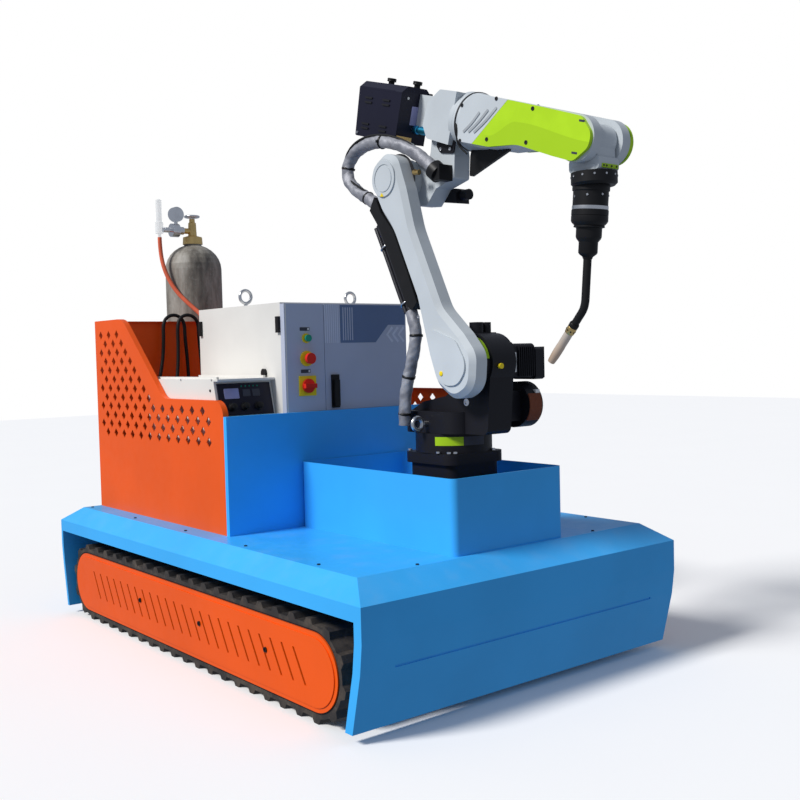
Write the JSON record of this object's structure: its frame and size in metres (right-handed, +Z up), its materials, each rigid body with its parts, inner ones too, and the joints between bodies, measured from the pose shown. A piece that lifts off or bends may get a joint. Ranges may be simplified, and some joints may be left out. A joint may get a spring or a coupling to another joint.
{
  "type": "tracked welding robot arm",
  "caption": "Six-axis welding robot arm with wire feeder and torch on a crawler carrier that also holds its control cabinet, welding power source and gas bottle.",
  "frame": {"origin": "on the ground under the middle of the machine's box", "axes": "+X forward, towards the torch; +Y to the left; +Z up"},
  "size_m": [2.2335, 1.16, 1.7168],
  "materials": {
    "chassis_black": "satin black",
    "blue_paint": "gloss sky-blue",
    "orange_paint": "gloss orange",
    "track_rubber": "worn matt",
    "cabinet_paint": "fine texture light grey",
    "switch_yellow": "gloss",
    "button_green": "gloss",
    "button_red": "gloss",
    "bright_steel": "plated",
    "black_plastic": "satin",
    "bottle_paint": "weathered",
    "brass": "machined",
    "chrome": "polished",
    "clear_plastic": "clear tube",
    "hose_orange": "satin",
    "cable_rubber": "matt",
    "casting_black": "satin",
    "robot_grey": "satin light grey",
    "robot_green": "gloss lime",
    "hose_sleeve": "silver-grey sleeve"
  },
  "bodies": {
    "carrier": {"chassis_frame": "chassis_black", "deck_cover": "blue_paint", "front_apron": "blue_paint", "rear_aprons": "blue_paint", "track_belt_right": "track_rubber", "track_belt_left": "track_rubber", "track_frame_right": "chassis_black", "track_frame_left": "chassis_black", "track_cover_right": "orange_paint", "track_cover_left": "orange_paint", "robot_tray": "blue_paint", "bulkhead": "blue_paint", "bin_side_right": "orange_paint", "bin_side_left": "orange_paint", "bin_rear_panel": "orange_paint", "control_cabinet": "cabinet_paint", "control_strip": "cabinet_paint", "cabinet_door": "cabinet_paint", "switch_collars": "switch_yellow", "cabinet_lifting_eyes": "bright_steel", "cabinet_fittings": "black_plastic", "power_source": "cabinet_paint", "power_source_panel": "black_plastic", "power_source_top": "cabinet_paint", "gas_bottle": "bottle_paint", "bottle_valve": "brass", "gas_regulator": "chrome", "flow_meter": "clear_plastic", "bottle_rack": "blue_paint", "gas_hose": "hose_orange", "supply_cable_one": "cable_rubber", "supply_cable_two": "cable_rubber", "robot_base": "casting_black"},
    "start_button": {"start_button": "button_green"},
    "emergency_stop": {"emergency_stop": "button_red"},
    "isolator": {"isolator_knob": "button_red"},
    "handwheel": {"bottle_handwheel": "bright_steel"},
    "turret": {"turret": "casting_black", "shoulder_motor": "casting_black", "base_motor": "casting_black", "turret_eye_bolt": "bright_steel"},
    "lower_arm": {"lower_arm": "robot_grey", "cable_guard": "black_plastic", "arm_hose": "cable_rubber", "shoulder_sleeve": "hose_sleeve"},
    "upper_arm": {"elbow_casting": "robot_grey", "elbow_motor": "casting_black", "wire_feeder": "casting_black", "feeder_fittings": "brass", "dress_socket": "black_plastic", "dress_loop": "hose_sleeve"},
    "forearm": {"forearm": "robot_grey", "forearm_green_covers": "robot_green", "forearm_guard": "black_plastic", "wrist_cap": "robot_green"},
    "hand": {"hand": "robot_grey"},
    "torch": {"torch_flange": "black_plastic", "torch_body": "black_plastic", "torch_neck": "black_plastic", "torch_nozzle": "brass"}
  },
  "joints": [
    {"name": "j1_turn", "type": "hinge", "parent": "carrier", "child": "turret", "pos_m": [0.515, 0, 0.63], "axis": [0, 0, 1], "range_deg": [-120, 120]},
    {"name": "j2_shoulder", "type": "hinge", "parent": "turret", "child": "lower_arm", "pos_m": [0.665, 0, 0.88], "axis": [0, 1, 0], "range_deg": [-30, 60], "deforming": ["shoulder_sleeve"]},
    {"name": "j3_elbow", "type": "hinge", "parent": "lower_arm", "child": "upper_arm", "pos_m": [0.402, 0, 1.4], "axis": [0, -1, 0], "range_deg": [-10, 80], "deforming": ["dress_loop"]},
    {"name": "j4_forearm_roll", "type": "hinge", "parent": "upper_arm", "child": "forearm", "pos_m": [0.45685, 0, 1.584], "axis": [0.9583, 0, -0.2857], "range_deg": [-150, 150]},
    {"name": "j5_wrist_bend", "type": "hinge", "parent": "forearm", "child": "hand", "pos_m": [1.04718, 0, 1.40801], "axis": [0, 1, 0], "range_deg": [-100, 30]},
    {"name": "j6_torch_turn", "type": "hinge", "parent": "hand", "child": "torch", "pos_m": [1.045, 0, 1.333], "axis": [0, 0, -1], "range_deg": [-180, 180]},
    {"name": "emergency_stop_push", "type": "slide", "parent": "carrier", "child": "emergency_stop", "axis": [-1, 0, 0], "range_m": [0, 0.006]},
    {"name": "start_button_push", "type": "slide", "parent": "carrier", "child": "start_button", "axis": [-1, 0, 0], "range_m": [0, 0.004], "stiffness_N_per_m": 400},
    {"name": "isolator_turn", "type": "hinge", "parent": "carrier", "child": "isolator", "pos_m": [0.017, -0.162, 0.815], "axis": [1, 0, 0], "range_deg": [0, 90]},
    {"name": "bottle_valve_turn", "type": "hinge", "parent": "carrier", "child": "handwheel", "pos_m": [-1.0128, 0, 1.46], "axis": [0, 0, 1], "range_deg": [0, 270]}
  ]
}
